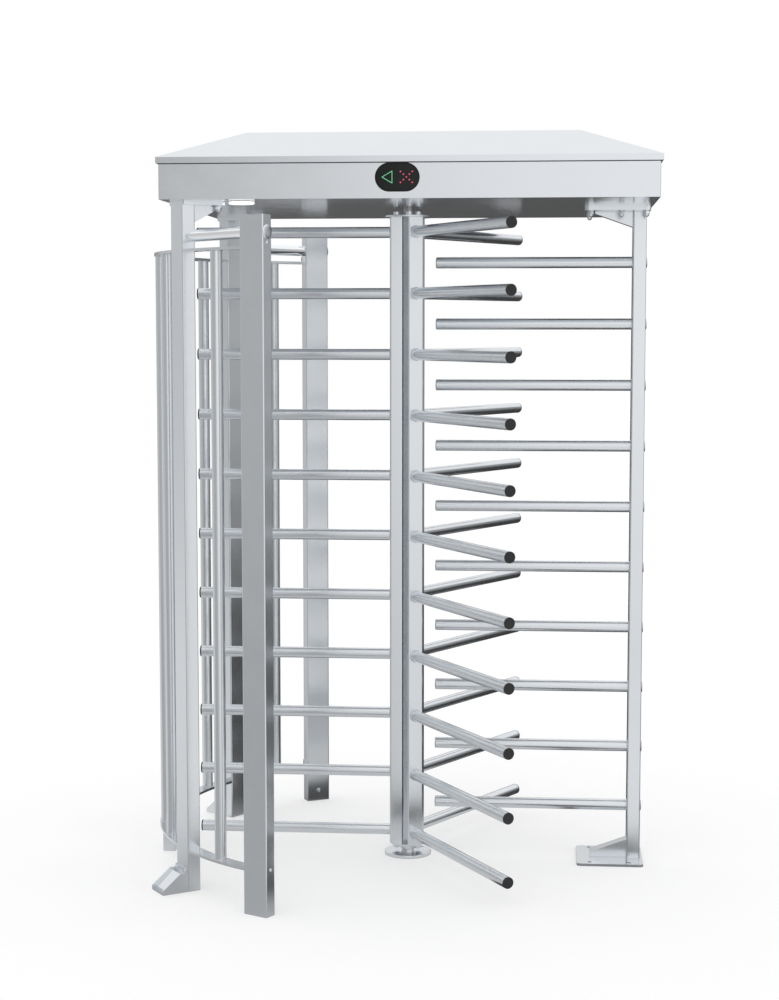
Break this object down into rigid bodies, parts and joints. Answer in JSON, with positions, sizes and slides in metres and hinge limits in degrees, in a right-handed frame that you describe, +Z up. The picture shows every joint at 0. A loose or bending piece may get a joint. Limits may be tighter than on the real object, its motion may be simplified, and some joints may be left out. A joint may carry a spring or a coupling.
{
  "type": "full height turnstile",
  "caption": "Full height turnstile with a winged rotor, a comb of bars, a curved guide cage and a canopy with hipped lid and status lights.",
  "frame": {"origin": "on the rotor axis at floor level, the centre of the rotor floor flange underside", "axes": "+Z up along the rotor axis, +X towards the comb, -Y towards the front where the visitor enters"},
  "size_m": [1.507, 1.4096, 2.2],
  "materials": {
    "brushed_stainless": "brushed stainless steel, fine grain along each tube",
    "polished_stainless": "polished stainless steel",
    "stainless_fasteners": "bright stainless fasteners",
    "black_plastic": "matte black moulded plug",
    "bronze": "sintered bronze",
    "machined_steel": "machined and oiled steel",
    "spring_steel": "drawn spring wire",
    "painted_frame": "zinc-grey primer on welded steel",
    "cast_housing": "machined cast iron",
    "motor_paint": "satin black enamel",
    "sensor_brass": "nickel-plated brass barrels",
    "enclosure_paint": "light grey powder coat",
    "circuit_board": "green solder mask",
    "supply_aluminium": "plain aluminium case",
    "cable_black": "black cable sheath",
    "indicator_black": "glossy black lens",
    "light_diffuser": "white translucent diffuser"
  },
  "bodies": {
    "frame": {"canopy_fascia": "brushed_stainless", "roof_lid": "brushed_stainless", "underside_panel_left": "brushed_stainless", "underside_panel_right": "brushed_stainless", "comb_post": "brushed_stainless", "comb_bars": "brushed_stainless", "comb_foot": "brushed_stainless", "comb_top_bracket": "brushed_stainless", "post_front_end": "brushed_stainless", "post_back_end": "brushed_stainless", "post_front": "brushed_stainless", "post_back": "brushed_stainless", "post_side": "brushed_stainless", "guide_band_bottom": "brushed_stainless", "guide_band_top": "brushed_stainless", "guide_tubes": "brushed_stainless", "head_rails": "brushed_stainless", "cage_feet": "brushed_stainless", "cage_brackets": "brushed_stainless", "floor_flange": "polished_stainless", "m6_screws": "stainless_fasteners", "bracket_bolts": "stainless_fasteners", "dome_bolts": "stainless_fasteners", "pawl_pins": "machined_steel", "upper_bearing": "machined_steel", "pawl_springs": "spring_steel", "canopy_frame": "painted_frame", "mechanism_plate": "painted_frame", "floor_sockets": "painted_frame", "bearing_housing": "cast_housing", "drive_motor": "motor_paint", "solenoid_entry": "motor_paint", "solenoid_exit": "motor_paint", "position_sensors": "sensor_brass", "control_box": "enclosure_paint", "control_board": "circuit_board", "power_supply": "supply_aluminium", "wiring_loom": "cable_black", "indicator_front": "indicator_black", "indicator_rear": "indicator_black", "passage_light": "light_diffuser"},
    "rotor": {"rotor_post_left": "brushed_stainless", "rotor_post_front": "brushed_stainless", "rotor_post_back": "brushed_stainless", "rotor_arms_left": "brushed_stainless", "rotor_arms_front": "brushed_stainless", "rotor_arms_back": "brushed_stainless", "arm_end_caps": "black_plastic", "rotor_top_flange": "polished_stainless", "rotor_bottom_disc": "polished_stainless", "rotor_flange_screws": "stainless_fasteners", "lower_bush": "bronze", "rotor_shaft": "machined_steel", "rotor_gear": "machined_steel", "locking_disc": "machined_steel"},
    "motor_pinion": {"motor_pinion": "machined_steel"},
    "pawl_entry": {"pawl_entry": "machined_steel"},
    "pawl_exit": {"pawl_exit": "machined_steel"},
    "plunger_entry": {"plunger_entry": "machined_steel"},
    "plunger_exit": {"plunger_exit": "machined_steel"}
  },
  "joints": [
    {"name": "rotor_spin", "type": "hinge", "parent": "frame", "child": "rotor", "pos_m": [0, 0, 0], "axis": [0, 0, 1], "continuous": true},
    {"name": "pinion_spin", "type": "hinge", "parent": "frame", "child": "motor_pinion", "pos_m": [0, 0.1203, 0], "axis": [0, 0, 1], "continuous": true},
    {"name": "pawl_entry_engage", "type": "hinge", "parent": "frame", "child": "pawl_entry", "pos_m": [-0.10582, 0.03128, 0], "axis": [0, 0, 1], "range_deg": [0, 9.9], "stiffness_Nm_per_rad": 0.5},
    {"name": "pawl_exit_engage", "type": "hinge", "parent": "frame", "child": "pawl_exit", "pos_m": [0.10582, 0.03128, 0], "axis": [0, 0, -1], "range_deg": [0, 9.9], "stiffness_Nm_per_rad": 0.5},
    {"name": "plunger_entry_slide", "type": "slide", "parent": "frame", "child": "plunger_entry", "axis": [0.866, 0.5, 0], "range_m": [0, 0.0139]},
    {"name": "plunger_exit_slide", "type": "slide", "parent": "frame", "child": "plunger_exit", "axis": [-0.866, 0.5, 0], "range_m": [0, 0.0139]}
  ],
  "couplings": [
    {"joint": "pinion_spin", "follows": "rotor_spin", "ratio": -4},
    {"joint": "plunger_entry_slide", "follows": "pawl_entry_engage", "m_per_rad": 0.08},
    {"joint": "plunger_exit_slide", "follows": "pawl_exit_engage", "m_per_rad": 0.08}
  ]
}
